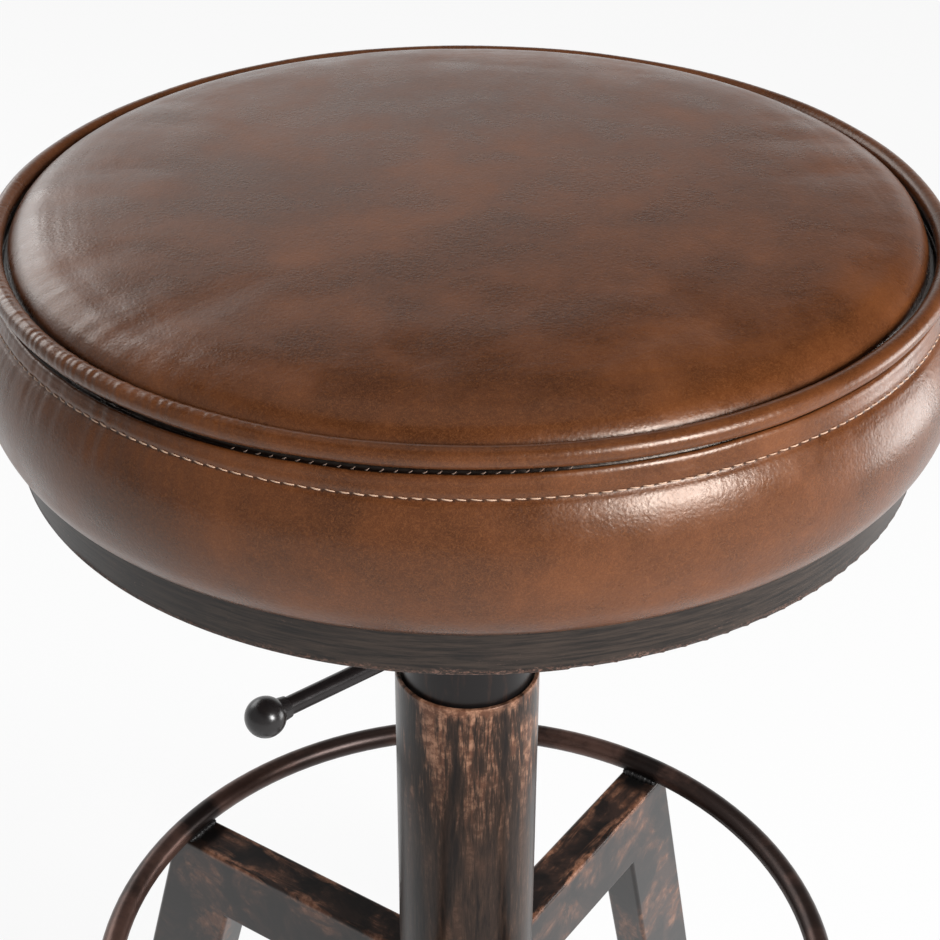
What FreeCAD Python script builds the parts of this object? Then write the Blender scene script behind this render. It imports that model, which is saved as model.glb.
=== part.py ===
import FreeCAD, Part
import os
import re
import Sketcher

# Height-adjustable swivel stool: a round upholstered seat in a steel pan, a telescopic
# column with a gas spring inside, four legs of rectangular tube and a footrest ring.
# Millimetres. The origin is on the floor on the column's axis, and +Z points up.
# The legs stand on the diagonals, and the seat is at its lowest height.

FRONT = FreeCAD.Vector(0, 1, 0)
SIDE = FreeCAD.Vector(1, 0, 0)
UP = FreeCAD.Vector(0, 0, 1)
BALLS = 8
TINY = 1e-3

doc = FreeCAD.newDocument("stool")
sheet = doc.addObject("Spreadsheet::Sheet", "Sizes")

# Driving sizes. Each can be changed by itself.
SIZES = [
    # Column
    ("ColumnDiameter", 60.0),
    ("ColumnWall", 1.5),
    ("ColumnTop", 424.0),
    ("ColumnRimRound", 0.6),
    ("ColumnSkirt", 7.0),
    ("FloorPlate", 4.0),
    ("FloorPlateBore", 26.0),
    ("BushDrop", 3.0),
    ("BushLength", 40.0),
    ("BushWall", 0.9),
    ("BushSlit", 4.0),
    # Spokes and legs of the same rectangular tube
    ("TubeWidth", 20.0),
    ("TubeHeight", 40.0),
    ("TubeWall", 1.5),
    ("TubeCorner", 2.0),
    ("SpokeTop", 252.0),
    ("LegCornerReach", 168.5),
    ("LegLean", 15.9),
    ("FirstLegAzimuth", 45.0),
    # Footrest ring
    ("RingInset", 6.0),
    ("RingRod", 11.0),
    # Foot glides
    ("GlideThickness", 5.0),
    ("GlideMargin", 0.8),
    ("GlideCorner", 3.0),
    ("GlideEdge", 1.0),
    ("GlidePlug", 22.0),
    # Gas lift
    ("LiftStroke", 200.0),
    ("PostSpare", 1.0),
    ("LiftDeadLength", 103.0),
    ("LiftTubePlay", 1.0),
    ("LiftTubeWall", 1.5),
    ("LiftTubeFloor", 3.0),
    ("SleeveLength", 60.0),
    ("CylinderDiameter", 28.0),
    ("CylinderWall", 1.5),
    ("TaperLength", 40.0),
    ("TaperDrop", 0.8),
    ("TaperEndGap", 2.0),
    ("CylinderEndGap", 2.0),
    ("ValveBlock", 38.0),
    ("GlandLength", 12.0),
    ("PistonLength", 12.0),
    ("PistonEndGap", 3.0),
    ("RodDiameter", 10.0),
    ("RodCollarDiameter", 18.0),
    ("RodCollar", 4.5),
    ("RodGroove", 0.8),
    ("RodTail", 2.0),
    ("WasherThickness", 1.5),
    ("WasherDiameter", 24.0),
    ("BallDiameter", 3.5),
    ("BallPitchRadius", 8.7),
    ("CageThickness", 1.2),
    ("ClipThickness", 1.2),
    ("ClipDiameter", 17.0),
    ("ClipOpening", 70.0),
    ("EndWasherMargin", 2.0),
    ("ButtonDiameter", 8.0),
    ("ButtonStem", 12.0),
    ("ButtonProud", 5.5),
    ("ButtonDome", 10.0),
    ("ButtonRoom", 5.0),
    # Height lever
    ("LeverAzimuth", 208.5),
    ("LeverRise", 23.0),
    ("LeverRod", 7.5),
    ("LeverReach", 99.0),
    ("LeverTail", 6.0),
    ("LeverPlay", 0.5),
    ("LeverBall", 16.2),
    ("LeverPastCentre", 2.0),
    ("LeverNeck", 1.8),
    ("LeverNeckWide", 11.0),
    ("LeverNeckSlim", 8.8),
    ("PinDiameter", 4.0),
    ("PinInset", 6.0),
    ("PinProud", 0.6),
    ("SlotSide", 0.8),
    ("SlotBelow", 1.0),
    ("SlotAbove", 2.2),
    # Seat post and mounting plate
    ("PostWall", 1.5),
    ("PostHead", 99.4),
    ("PlateDiameter", 146.0),
    ("PlateThickness", 4.0),
    ("BoltCircle", 112.0),
    ("BoltDiameter", 8.0),
    ("BoltHeadWidth", 13.0),
    ("BoltHead", 5.3),
    ("BoltWasherDiameter", 16.0),
    ("BoltWasher", 1.6),
    ("TeeNutBarrel", 10.0),
    ("TeeNutBarrelLength", 9.0),
    ("TeeNutFlange", 22.0),
    ("TeeNutFlangeThickness", 1.5),
    # Seat pan and cushion
    ("PanRadius", 166.8),
    ("PanDepth", 18.3),
    ("PanWall", 1.5),
    ("PanCorner", 2.5),
    ("PanRimRound", 0.6),
    ("BoardThickness", 12.0),
    ("Hide", 1.3),
    ("HideTurn", 16.0),
    ("CushionHeight", 62.0),
    ("WeltReach", 1.2),
    ("WeltDiameter", 7.2),
    ("SeamDrop", 5.6),
    ("SeamTab", 3.4),
    ("BandFootReach", 5.8),
    ("BandFootRound", 5.0),
    ("BandFootLean", 29.0),
    ("CrownHeight", 13.0),
    ("PanelDrop", 2.0),
    ("ShoulderReach", 24.6),
    ("ShoulderRise", 11.5),
    ("ShoulderRound", 36.0),
    # Clearances of the fits
    ("TightGap", 0.05),
    ("SlidingGap", 0.05),
    ("RunningGap", 0.1),
    ("LooseGap", 0.2),
    ("ClearHole", 0.5),
    # How far a cutting shape runs past what it cuts
    ("Overrun", 6.0),
]

# Places and radii that follow from the driving sizes.
PLACES = {
    "ColumnRadius": "ColumnDiameter / 2",
    "ColumnBore": "ColumnRadius - ColumnWall",
    "LeverHeight": "ColumnTop + LeverRise",
    "ButtonTop": "LeverHeight - LeverRod / 2 - LeverPlay",
    "CylinderTop": "ButtonTop - ButtonProud",
    "LiftFloor": "CylinderTop - LiftStroke - LiftDeadLength",
    "FloorPlateBottom": "LiftFloor - FloorPlate",
    "ColumnBottom": "FloorPlateBottom - ColumnSkirt",
    "BushTop": "ColumnTop - BushDrop",
    "BushBottom": "BushTop - BushLength",
    "BushBore": "ColumnBore - TightGap - BushWall",
    "PostRadius": "BushBore - RunningGap",
    "PostBore": "PostRadius - PostWall",
    "PostBottom": "BushBottom - LiftStroke - PostSpare",
    "PostTop": "PanBottom - PlateThickness",
    "PanBottom": "LeverHeight + PostHead",
    "SpokeBottom": "SpokeTop - TubeHeight",
    "LegWidth": "TubeHeight / cos(LegLean)",
    "MitreReach": "LegCornerReach + TubeHeight * tan(LegLean) - LegWidth",
    "LegBottomReach": "LegCornerReach + (SpokeTop - GlideThickness) * tan(LegLean)",
    "CavityWall": "TubeWall / cos(LegLean)",
    "RingRadius": "LegCornerReach - RingInset",
    "RingHeight": "SpokeTop + RingRod / 2",
    "TaperBottom": "CylinderTop - TaperLength",
    "CylinderRadius": "CylinderDiameter / 2",
    "CylinderBore": "CylinderRadius - CylinderWall",
    "CylinderBottom": "CollarTop + CylinderEndGap",
    "TaperTopRadius": "CylinderRadius - TaperDrop",
    "ValveBottom": "CylinderTop - ValveBlock",
    "LiftTubeRadius": "PostBore - LiftTubePlay",
    "LiftTubeBore": "LiftTubeRadius - LiftTubeWall",
    "LiftTubeTop": "TaperBottom - TaperEndGap",
    "SleeveBore": "CylinderRadius + SlidingGap",
    "LowerWasher": "LiftFloor + LiftTubeFloor",
    "BallSeat": "LowerWasher + WasherThickness",
    "BallCentre": "BallSeat + BallDiameter / 2",
    "UpperWasher": "BallSeat + BallDiameter + RunningGap",
    "CollarBottom": "UpperWasher + WasherThickness",
    "CollarTop": "CollarBottom + RodCollar",
    "RodRadius": "RodDiameter / 2",
    "EndWasherTop": "LiftFloor - LooseGap",
    "EndWasherBottom": "EndWasherTop - WasherThickness",
    "ClipTop": "EndWasherBottom - RunningGap",
    "ClipBottom": "ClipTop - ClipThickness",
    "RodBottom": "ClipBottom - RodTail",
    "GrooveRadius": "RodRadius - RodGroove",
    "PistonBottom": "ValveBottom - PistonEndGap - PistonLength",
    "PinReach": "PostBore - PinInset",
    "PinRadius": "PinDiameter / 2",
    "LeverRadius": "LeverRod / 2",
    "SlotHalf": "LeverRadius + SlotSide",
    "PinChord": "sqrt(PostRadius * PostRadius - PinReach * PinReach)",
    "BoltPlace": "BoltCircle / 2 * cos(45)",
    "BoltHole": "BoltDiameter / 2 + ClearHole",
    "PanBore": "PanRadius - PanWall",
    "PanFloor": "PanBottom + PanWall",
    "PanRim": "PanBottom + PanDepth",
    "SkirtOuter": "PanBore - LooseGap",
    "SkirtInner": "SkirtOuter - Hide",
    "BoardRadius": "SkirtInner - LooseGap",
    "HideBottom": "PanFloor + TightGap",
    "BoardBottom": "HideBottom + Hide + TightGap",
    "BoardTop": "BoardBottom + BoardThickness",
    "BandBottom": "PanRim + LooseGap",
    "WeltHeight": "PanRim + CushionHeight",
    "WeltRadius": "PanRadius + WeltReach",
    "SeamHeight": "WeltHeight - SeamDrop",
    "TabReach": "WeltRadius - SeamTab + LooseGap",
    "BandFoot": "PanRadius + BandFootReach",
    "BandFootTop": "BandBottom + BandFootRound * (1 - sin(BandFootLean))",
    "BandFootInner": "BandFoot - BandFootRound * cos(BandFootLean)",
    "BandIn": "BandFoot - WeltRadius",
    "BandUp": "SeamHeight - BandFootTop",
    "BandRound": "(BandIn * BandIn + BandUp * BandUp)"
                 " / (2 * (BandIn * cos(BandFootLean) + BandUp * sin(BandFootLean)))",
    "BandCentreReach": "BandFoot - BandRound * cos(BandFootLean)",
    "BandCentreHeight": "BandFootTop + BandRound * sin(BandFootLean)",
    "PanelEdge": "WeltRadius - SeamTab",
    "PanelRim": "WeltHeight - PanelDrop",
    "ShoulderStart": "PanelEdge - ShoulderReach",
    "ShoulderTop": "PanelRim + ShoulderRise",
    "CrownTop": "WeltHeight + CrownHeight",
    "CrownDrop": "CrownTop - ShoulderTop",
    "CrownRadius": "(ShoulderStart * ShoulderStart + CrownDrop * CrownDrop) / (2 * CrownDrop)",
}


def formula(text):
    """Write a rule out in the sheet's own sizes."""
    def word(match):
        name = match.group(0)
        if name in PLACES:
            return "(" + formula(PLACES[name]) + ")"
        return "Sizes." + name
    return re.sub(r"[A-Z][A-Za-z]+", word, text)


def value(text):
    """The number that a rule gives now."""
    result = sheet.evalExpression(formula(text))
    return float(getattr(result, "Value", result))


def fill_sheet():
    for row, (name, number) in enumerate(SIZES, start=1):
        sheet.set(f"A{row}", name)
        sheet.set(f"B{row}", str(number))
        sheet.setAlias(f"B{row}", name)
    doc.recompute()


def bind(thing, **rules):
    """Tie properties to rules; two underscores stand for a dot."""
    for name, rule in rules.items():
        thing.setExpression(name.replace("__", "."), formula(rule))


# Sketch helpers

def new_body(name):
    body = doc.addObject("PartDesign::Body", name)
    body.Label = name
    return body


def new_sketch(body, plane, height="0"):
    """A sketch on one of the body's own planes, raised along its normal."""
    sketch = body.newObject("Sketcher::SketchObject", body.Label + "_sketch")
    planes = [item for item in body.Origin.OriginFeatures if item.Role == plane]
    sketch.AttachmentSupport = [(planes[0], "")]
    sketch.MapMode = "FlatFace"
    if height != "0":
        bind(sketch, AttachmentOffset__Base__z=height)
    return sketch


def pin_point(sketch, edge, end, corner):
    """Fix one end of an edge at a corner's two coordinates."""
    for kind, rule in zip(("DistanceX", "DistanceY"), corner):
        if rule == "0":
            axis = -2 if kind == "DistanceX" else -1
            sketch.addConstraint(Sketcher.Constraint("PointOnObject", edge, end, axis))
            continue
        number = sketch.addConstraint(Sketcher.Constraint(kind, -1, 1, edge, end, value(rule)))
        sketch.setExpression(f"Constraints[{number}]", formula(rule))


def arc_between(start, end, radius, side):
    """The short arc between two points; side 1 has its centre on the left of the way."""
    way = end - start
    half = way.Length / 2
    across = FreeCAD.Vector(-way.y, way.x, 0).normalize() * side
    centre = (start + end) / 2 + across * max(radius * radius - half * half, 0) ** 0.5
    circle = Part.Circle(centre, UP, radius)
    first, last = (start, end) if side > 0 else (end, start)
    return Part.ArcOfCircle(circle, circle.parameter(first), circle.parameter(last))


def outline(sketch, corners):
    """A closed outline. A corner is (x, y), or (x, y, radius, side) if an arc leads to it."""
    points = [FreeCAD.Vector(value(corner[0]), value(corner[1]), 0) for corner in corners]
    ends = []
    for index, corner in enumerate(corners):
        start, end = points[index - 1], points[index]
        if len(corner) == 2:
            sketch.addGeometry(Part.LineSegment(start, end))
            ends.append((1, 2))
            continue
        radius, side = corner[2:]
        sketch.addGeometry(arc_between(start, end, value(radius), side))
        ends.append((1, 2) if side > 0 else (2, 1))
    for index, corner in enumerate(corners):
        following = (index + 1) % len(corners)
        sketch.addConstraint(
            Sketcher.Constraint("Coincident", index, ends[index][1], following, ends[following][0]))
        pin_point(sketch, index, ends[index][1], corner[:2])
        if len(corner) > 2:
            number = sketch.addConstraint(Sketcher.Constraint("Radius", index, value(corner[2])))
            sketch.setExpression(f"Constraints[{number}]", formula(corner[2]))


def circle(sketch, x, y, radius):
    edge = sketch.addGeometry(Part.Circle(FreeCAD.Vector(value(x), value(y), 0), UP, value(radius)))
    pin_point(sketch, edge, 3, (x, y))
    number = sketch.addConstraint(Sketcher.Constraint("Radius", edge, value(radius)))
    sketch.setExpression(f"Constraints[{number}]", formula(radius))


# Feature helpers

def turned(name, corners, opening="0"):
    """A piece turned about the column's axis, with an opening in degrees if it is a clip."""
    body = new_body(name)
    sketch = new_sketch(body, "XZ_Plane")
    outline(sketch, corners)
    revolution = body.newObject("PartDesign::Revolution", name + "_turn")
    revolution.Profile = sketch
    revolution.ReferenceAxis = (sketch, ["V_Axis"])
    bind(revolution, Angle="360 - " + opening)
    doc.recompute()
    return body


def pad(body, sketch, length, symmetric=False):
    feature = body.newObject("PartDesign::Pad", body.Label + "_pad")
    feature.Profile = sketch
    feature.SideType = "Symmetric" if symmetric else "One side"
    bind(feature, Length=length)
    doc.recompute()
    return feature


def pocket(body, sketch, length=None, symmetric=False, reverse=False):
    """Cut the sketch out of the body, right through unless a depth is given."""
    before = body.Shape.Volume
    feature = body.newObject("PartDesign::Pocket", body.Label + "_pocket")
    feature.Profile = sketch
    feature.SideType = "Symmetric" if symmetric else "One side"
    feature.Reversed = reverse
    if length is None:
        feature.Type = "ThroughAll"
    else:
        bind(feature, Length=length)
    doc.recompute()
    if not body.Shape.Volume < before - TINY:
        raise RuntimeError(f"a pocket of {body.Label} cuts nothing")
    return feature


def four_times(body, feature, sketch):
    """Repeat a hole at the four bolt places."""
    pattern = body.newObject("PartDesign::PolarPattern", body.Label + "_pattern")
    pattern.Originals = [feature]
    pattern.Axis = (sketch, ["N_Axis"])
    pattern.Angle = 360
    pattern.Occurrences = 4
    body.Tip = pattern
    doc.recompute()


def bolt_holes(body, radius):
    sketch = new_sketch(body, "XY_Plane")
    circle(sketch, "BoltPlace", "BoltPlace", radius)
    four_times(body, pocket(body, sketch, reverse=True), sketch)


def round_edges(body, radius, wanted):
    """Round the edges of the body that the test picks."""
    base = body.Tip
    names = [f"Edge{number}" for number, edge in enumerate(base.Shape.Edges, start=1) if wanted(edge)]
    fillet = body.newObject("PartDesign::Fillet", body.Label + "_fillet")
    fillet.Base = (base, names)
    bind(fillet, Radius=radius)
    doc.recompute()


def turn_to(thing, angle):
    """Turn a finished piece about the column's axis."""
    thing.Placement = FreeCAD.Placement(FreeCAD.Vector(), FreeCAD.Rotation(UP, value(angle)))


def ring_profile(inner, outer, low, high):
    return [(inner, low), (outer, low), (outer, high), (inner, high)]


# Base: column, spokes, legs, ring and feet

def make_column():
    rim = "ColumnTop - ColumnRimRound"
    turned("column_tube", [
        ("ColumnBore", "ColumnBottom"),
        ("ColumnRadius", "ColumnBottom"),
        ("ColumnRadius", rim),
        ("ColumnRadius - ColumnRimRound", "ColumnTop", "ColumnRimRound", 1),
        ("ColumnBore", "ColumnTop"),
    ])
    turned("column_floor", ring_profile(
        "FloorPlateBore / 2", "ColumnBore - TightGap", "FloorPlateBottom", "LiftFloor"))


def make_guide_bush():
    """The split nylon bush that the seat post slides in."""
    body = turned("guide_bush", ring_profile(
        "BushBore", "ColumnBore - TightGap", "BushBottom", "BushTop"))
    sketch = new_sketch(body, "XY_Plane")
    outline(sketch, [
        ("BushBore - Overrun", "0 - BushSlit / 2"),
        ("ColumnBore + Overrun", "0 - BushSlit / 2"),
        ("ColumnBore + Overrun", "BushSlit / 2"),
        ("BushBore - Overrun", "BushSlit / 2"),
    ])
    pocket(body, sketch, reverse=True)


def along(edge, direction):
    """Whether an edge is straight and runs along a direction."""
    if edge.Curve.TypeId != "Part::GeomLine":
        return False
    return edge.Curve.Direction.cross(direction).Length < TINY


def make_spoke(number):
    """A level tube from the column to the mitre with its leg."""
    body = new_body(f"spoke_{number}")
    side = new_sketch(body, "XZ_Plane")
    start = "ColumnRadius - Overrun"
    outline(side, [
        (start, "SpokeBottom"),
        ("MitreReach", "SpokeBottom"),
        ("LegCornerReach", "SpokeTop"),
        (start, "SpokeTop"),
    ])
    pad(body, side, "TubeWidth", symmetric=True)
    round_edges(body, "TubeCorner", lambda edge: along(edge, SIDE))
    hollow = new_sketch(body, "XZ_Plane")
    outline(hollow, [
        ("ColumnRadius - 2 * Overrun", "SpokeBottom + TubeWall"),
        ("LegCornerReach + Overrun", "SpokeBottom + TubeWall"),
        ("LegCornerReach + Overrun", "SpokeTop - TubeWall"),
        ("ColumnRadius - 2 * Overrun", "SpokeTop - TubeWall"),
    ])
    pocket(body, hollow, length="TubeWidth - 2 * TubeWall", symmetric=True)
    saddle = new_sketch(body, "XY_Plane")
    circle(saddle, "0", "0", "ColumnRadius")
    pocket(body, saddle, reverse=True)
    turn_to(body, f"FirstLegAzimuth + {90 * (number - 1)}")


def make_leg(number):
    """A sloping tube from the mitre down to its foot glide."""
    body = new_body(f"leg_{number}")
    side = new_sketch(body, "XZ_Plane")
    outline(side, [
        ("MitreReach", "SpokeBottom"),
        ("LegBottomReach - LegWidth", "GlideThickness"),
        ("LegBottomReach", "GlideThickness"),
        ("LegCornerReach", "SpokeTop"),
    ])
    pad(body, side, "TubeWidth", symmetric=True)
    lean = value("LegLean")
    slope = FreeCAD.Rotation(FRONT, -lean).multVec(UP)
    round_edges(body, "TubeCorner", lambda edge: along(edge, slope))
    hollow = new_sketch(body, "XZ_Plane")
    low = "GlideThickness - Overrun"
    high = "SpokeTop + Overrun"
    shift_low = "Overrun * tan(LegLean)"
    shift_high = "(SpokeTop + Overrun - GlideThickness) * tan(LegLean)"
    outline(hollow, [
        (f"LegBottomReach - LegWidth + CavityWall + {shift_low}", low),
        (f"LegBottomReach - CavityWall + {shift_low}", low),
        (f"LegBottomReach - CavityWall - {shift_high}", high),
        (f"LegBottomReach - LegWidth + CavityWall - {shift_high}", high),
    ])
    pocket(body, hollow, length="TubeWidth - 2 * TubeWall", symmetric=True)
    turn_to(body, f"FirstLegAzimuth + {90 * (number - 1)}")


def make_foot_glide(number):
    """A moulded foot: a pad under the leg and a plug up inside it."""
    body = new_body(f"foot_glide_{number}")
    inner = "LegBottomReach - LegWidth - GlideMargin"
    outer = "LegBottomReach + GlideMargin"
    half = "TubeWidth / 2 + GlideMargin"
    base = new_sketch(body, "XY_Plane")
    outline(base, [
        (inner, f"0 - ({half})"),
        (outer, f"0 - ({half})"),
        (outer, half),
        (inner, half),
    ])
    pad(body, base, "GlideThickness")
    round_edges(body, "GlideCorner", lambda edge: along(edge, UP))
    round_edges(body, "GlideEdge", lambda edge: edge.BoundBox.ZMax < TINY)
    side = new_sketch(body, "XZ_Plane")
    wall = "(CavityWall + LooseGap)"
    rise = "GlidePlug * tan(LegLean)"
    outline(side, [
        (f"LegBottomReach - LegWidth + {wall}", "GlideThickness"),
        (f"LegBottomReach - {wall}", "GlideThickness"),
        (f"LegBottomReach - {wall} - {rise}", "GlideThickness + GlidePlug"),
        (f"LegBottomReach - LegWidth + {wall} - {rise}", "GlideThickness + GlidePlug"),
    ])
    pad(body, side, "TubeWidth - 2 * TubeWall - 2 * LooseGap", symmetric=True)
    turn_to(body, f"FirstLegAzimuth + {90 * (number - 1)}")


def make_footrest_ring():
    ring = doc.addObject("Part::Torus", "footrest_ring")
    bind(ring, Radius1="RingRadius", Radius2="RingRod / 2", Placement__Base__z="RingHeight")


# Gas lift

def make_lift_tube():
    """The outer tube of the gas lift, which stands on the column's floor."""
    turned("lift_outer_tube", [
        ("RodRadius + ClearHole", "LiftFloor"),
        ("LiftTubeRadius", "LiftFloor"),
        ("LiftTubeRadius", "LiftTubeTop"),
        ("LiftTubeBore", "LiftTubeTop"),
        ("LiftTubeBore", "LowerWasher"),
        ("RodRadius + ClearHole", "LowerWasher"),
    ])
    turned("lift_guide_sleeve", ring_profile(
        "SleeveBore", "LiftTubeBore - TightGap", "LiftTubeTop - SleeveLength", "LiftTubeTop"))


def make_thrust_bearing():
    bore = "RodRadius + LooseGap"
    rim = "WasherDiameter / 2"
    turned("thrust_washer_lower", ring_profile(bore, rim, "LowerWasher", "BallSeat"))
    turned("thrust_washer_upper", ring_profile(bore, rim, "UpperWasher", "CollarBottom"))
    low = "BallCentre - CageThickness / 2"
    cage = turned("ball_cage", ring_profile(
        "RodRadius + LooseGap", rim, low, "BallCentre + CageThickness / 2"))
    sketch = new_sketch(cage, "XY_Plane")
    circle(sketch, "BallPitchRadius", "0", "BallDiameter / 2 + RunningGap")
    hole = pocket(cage, sketch, reverse=True)
    pattern = cage.newObject("PartDesign::PolarPattern", "ball_cage_pattern")
    pattern.Originals = [hole]
    pattern.Axis = (sketch, ["N_Axis"])
    pattern.Angle = 360
    pattern.Occurrences = BALLS
    cage.Tip = pattern
    balls = []
    for number in range(BALLS):
        angle = 360 / BALLS * number
        ball = doc.addObject("Part::Sphere", f"ball_{number + 1}")
        bind(ball, Radius="BallDiameter / 2",
             Placement__Base__x=f"BallPitchRadius * cos({angle})",
             Placement__Base__y=f"BallPitchRadius * sin({angle})",
             Placement__Base__z="BallCentre")
        balls.append(ball)
    group("thrust_balls", balls)


def make_piston_rod():
    """The rod hangs from its collar on the thrust bearing and reaches up into the cylinder."""
    turned("piston_rod", [
        ("0", "RodBottom"),
        ("RodRadius", "RodBottom"),
        ("RodRadius", "ClipBottom"),
        ("GrooveRadius", "ClipBottom"),
        ("GrooveRadius", "ClipTop"),
        ("RodRadius", "ClipTop"),
        ("RodRadius", "CollarBottom"),
        ("RodCollarDiameter / 2", "CollarBottom"),
        ("RodCollarDiameter / 2", "CollarTop"),
        ("RodRadius", "CollarTop"),
        ("RodRadius", "PistonBottom"),
        ("0", "PistonBottom"),
    ])
    turned("piston", [
        ("0", "PistonBottom"),
        ("CylinderBore - LooseGap", "PistonBottom"),
        ("CylinderBore - LooseGap", "PistonBottom + PistonLength"),
        ("0", "PistonBottom + PistonLength"),
    ])
    turned("end_washer", ring_profile(
        "RodRadius + LooseGap", "ClipDiameter / 2 + EndWasherMargin", "EndWasherBottom", "EndWasherTop"))
    turned("retaining_clip", ring_profile(
        "GrooveRadius + TightGap", "ClipDiameter / 2", "ClipBottom", "ClipTop"), "ClipOpening")


def make_gas_cylinder():
    stem_bore = "ButtonDiameter / 2 + RunningGap"
    turned("gas_cylinder", [
        ("0", "ValveBottom"),
        ("CylinderBore", "ValveBottom"),
        ("CylinderBore", "CylinderBottom"),
        ("CylinderRadius", "CylinderBottom"),
        ("CylinderRadius", "TaperBottom"),
        ("TaperTopRadius", "CylinderTop"),
        (stem_bore, "CylinderTop"),
        (stem_bore, "CylinderTop - ButtonStem - ButtonRoom"),
        ("0", "CylinderTop - ButtonStem - ButtonRoom"),
    ])
    turned("cylinder_gland", ring_profile(
        "RodRadius + SlidingGap", "CylinderBore - TightGap",
        "CylinderBottom", "CylinderBottom + GlandLength"))
    dome = "ButtonTop - ButtonDome + sqrt(ButtonDome * ButtonDome - ButtonDiameter * ButtonDiameter / 4)"
    turned("valve_button", [
        ("0", "CylinderTop - ButtonStem"),
        ("ButtonDiameter / 2", "CylinderTop - ButtonStem"),
        ("ButtonDiameter / 2", dome),
        ("0", "ButtonTop", "ButtonDome", 1),
    ])


# Seat post, plate and lever

def make_seat_post():
    body = turned("seat_post", ring_profile("PostBore", "PostRadius", "PostBottom", "PostTop"))
    slot = new_sketch(body, "YZ_Plane")
    low = "LeverHeight - LeverRadius - SlotBelow + SlotHalf"
    high = "LeverHeight + LeverRadius + SlotAbove - SlotHalf"
    outline(slot, [
        ("SlotHalf", high),
        ("0", f"{high} + SlotHalf", "SlotHalf", 1),
        ("0 - SlotHalf", high, "SlotHalf", 1),
        ("0 - SlotHalf", low),
        ("0", f"{low} - SlotHalf", "SlotHalf", 1),
        ("SlotHalf", low, "SlotHalf", 1),
    ])
    pocket(body, slot, length="PostRadius + Overrun", reverse=True)
    pin = new_sketch(body, "XZ_Plane")
    circle(pin, "PinReach", "LeverHeight", "PinRadius + TightGap")
    pocket(body, pin, length="2 * PostRadius + Overrun", symmetric=True)
    turn_to(body, "LeverAzimuth")
    turned("taper_socket", [
        ("CylinderRadius + TightGap", "TaperBottom"),
        ("PostBore - TightGap", "TaperBottom"),
        ("PostBore - TightGap", "CylinderTop"),
        ("TaperTopRadius + TightGap", "CylinderTop"),
    ])


def level_cylinder(name, direction, start, length, radius, across="0"):
    """A round bar along X or Y, given by where it starts and how long it is."""
    bar = doc.addObject("Part::Cylinder", name)
    if direction == "X":
        bar.Placement.Rotation = FreeCAD.Rotation(FRONT, 90)
        bind(bar, Placement__Base__x=start, Placement__Base__y=across)
    else:
        bar.Placement.Rotation = FreeCAD.Rotation(SIDE, -90)
        bind(bar, Placement__Base__y=start, Placement__Base__x=across)
    bind(bar, Radius=radius, Height=length, Placement__Base__z="LeverHeight")
    return bar


def cut(name, base, tool):
    result = doc.addObject("Part::Cut", name)
    result.Base = base
    result.Tool = tool
    return result


def make_lever():
    """A rod through the post's slot, on a cross pin, with a ball on its outer end."""
    rod = level_cylinder(
        "rod_bar", "X", "0 - LeverTail", "LeverTail + LeverReach + LeverPastCentre", "LeverRadius")
    hole = level_cylinder(
        "rod_hole", "Y", "0 - LeverRod", "2 * LeverRod", "PinRadius + RunningGap", "PinReach")
    lever = cut("lever_rod", rod, hole)
    ball = doc.addObject("Part::Sphere", "ball_blank")
    bind(ball, Radius="LeverBall / 2", Placement__Base__x="LeverReach", Placement__Base__z="LeverHeight")
    neck = doc.addObject("Part::Cone", "ball_neck")
    neck.Placement.Rotation = FreeCAD.Rotation(FRONT, 90)
    bind(neck, Radius1="LeverNeckSlim / 2", Radius2="LeverNeckWide / 2",
         Height="LeverBall / 2", Placement__Base__x="LeverReach - LeverBall / 2 - LeverNeck",
         Placement__Base__z="LeverHeight")
    blank = doc.addObject("Part::Fuse", "ball_and_neck")
    blank.Base = ball
    blank.Tool = neck
    bore = level_cylinder(
        "ball_bore", "X", "LeverReach - LeverBall", "LeverBall + LeverPastCentre + TightGap",
        "LeverRadius + TightGap")
    knob = cut("lever_ball", blank, bore)
    pin = level_cylinder(
        "lever_pin", "Y", "0 - PinChord - PinProud", "2 * (PinChord + PinProud)", "PinRadius", "PinReach")
    pivot = doc.addObject("Part::Compound", "lever_pivot_pin")
    pivot.Links = [pin]
    doc.recompute()
    for piece in (lever, knob, pivot):
        turn_to(piece, "LeverAzimuth")


def make_mounting_plate():
    body = new_body("mounting_plate")
    sketch = new_sketch(body, "XY_Plane", "PostTop")
    circle(sketch, "0", "0", "PlateDiameter / 2")
    pad(body, sketch, "PlateThickness")
    bolt_holes(body, "BoltHole")


def group(name, members):
    compound = doc.addObject("Part::Compound", name)
    compound.Links = members
    return compound


def bolt_cylinder(name, quarter, low, length, radius):
    """A round bar at one of the four bolt places."""
    bar = doc.addObject("Part::Cylinder", name)
    place_at_bolt(bar, quarter, low)
    bind(bar, Radius=radius, Height=length)
    return bar


def place_at_bolt(thing, quarter, low):
    angle = 45 + 90 * quarter
    bind(thing,
         Placement__Base__x=f"BoltCircle / 2 * cos({angle})",
         Placement__Base__y=f"BoltCircle / 2 * sin({angle})",
         Placement__Base__z=low)


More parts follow.
